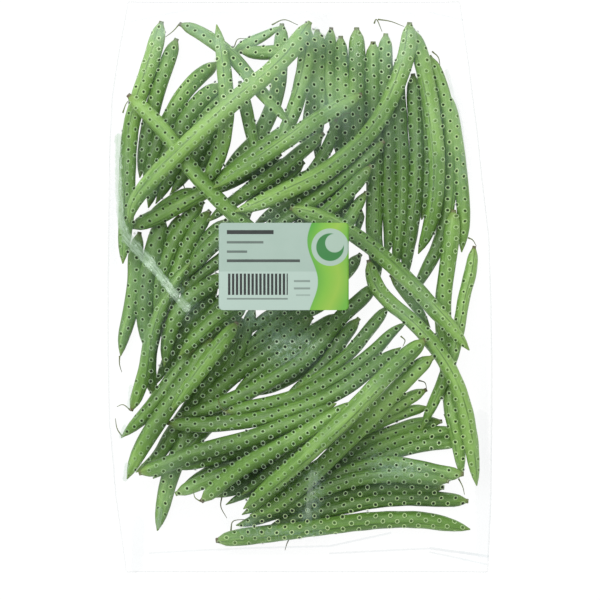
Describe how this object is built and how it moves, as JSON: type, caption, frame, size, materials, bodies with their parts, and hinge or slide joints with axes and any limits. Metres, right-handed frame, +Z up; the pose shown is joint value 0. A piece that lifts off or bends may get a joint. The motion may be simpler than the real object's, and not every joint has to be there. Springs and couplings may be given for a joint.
{
  "type": "bag of green beans",
  "caption": "Long green bean pods lying criss-cross in a clear perforated film bag with a plain sticker.",
  "frame": {"origin": "middle of the bag's outline, on the surface that it lies on", "axes": "+Y along the bag towards its upper end, +X across it, +Z up through its thickness"},
  "size_m": [0.192, 0.285, 0.0464],
  "materials": {
    "pod": "fresh pod skin, satin",
    "film": "clear thin film, glossy",
    "label": "printed film sticker, semi-gloss"
  },
  "bodies": {
    "root": {"bunch_right": "pod", "bunch_edge": "pod", "bunch_top": "pod", "bunch_left_top": "pod", "bunch_left": "pod", "bunch_low_left": "pod", "bunch_low_middle": "pod", "bunch_centre": "pod", "bunch_low_right": "pod", "bunch_bottom": "pod", "pod_01": "pod", "pod_02": "pod", "pod_03": "pod", "pod_04": "pod", "pod_05": "pod", "pod_06": "pod", "pod_07": "pod", "pod_08": "pod", "pod_09": "pod", "pod_10": "pod", "pod_11": "pod", "pod_12": "pod", "pod_13": "pod", "pod_14": "pod", "pod_15": "pod", "pod_16": "pod", "pod_17": "pod", "pod_18": "pod", "pod_19": "pod", "pod_20": "pod", "pod_21": "pod", "pod_22": "pod", "pod_23": "pod", "pod_24": "pod", "pod_25": "pod", "pod_26": "pod", "pod_27": "pod", "pod_28": "pod", "pod_29": "pod", "pod_30": "pod", "pod_31": "pod", "pod_32": "pod", "pod_33": "pod", "pod_34": "pod", "pod_35": "pod", "pod_36": "pod", "pod_37": "pod", "pod_38": "pod", "pod_39": "pod", "pod_40": "pod", "pod_41": "pod", "pod_42": "pod", "pod_43": "pod", "pod_44": "pod", "pod_45": "pod", "pod_46": "pod", "pod_47": "pod", "pod_48": "pod", "bag_film": "film", "label": "label"}
  },
  "joints": []
}
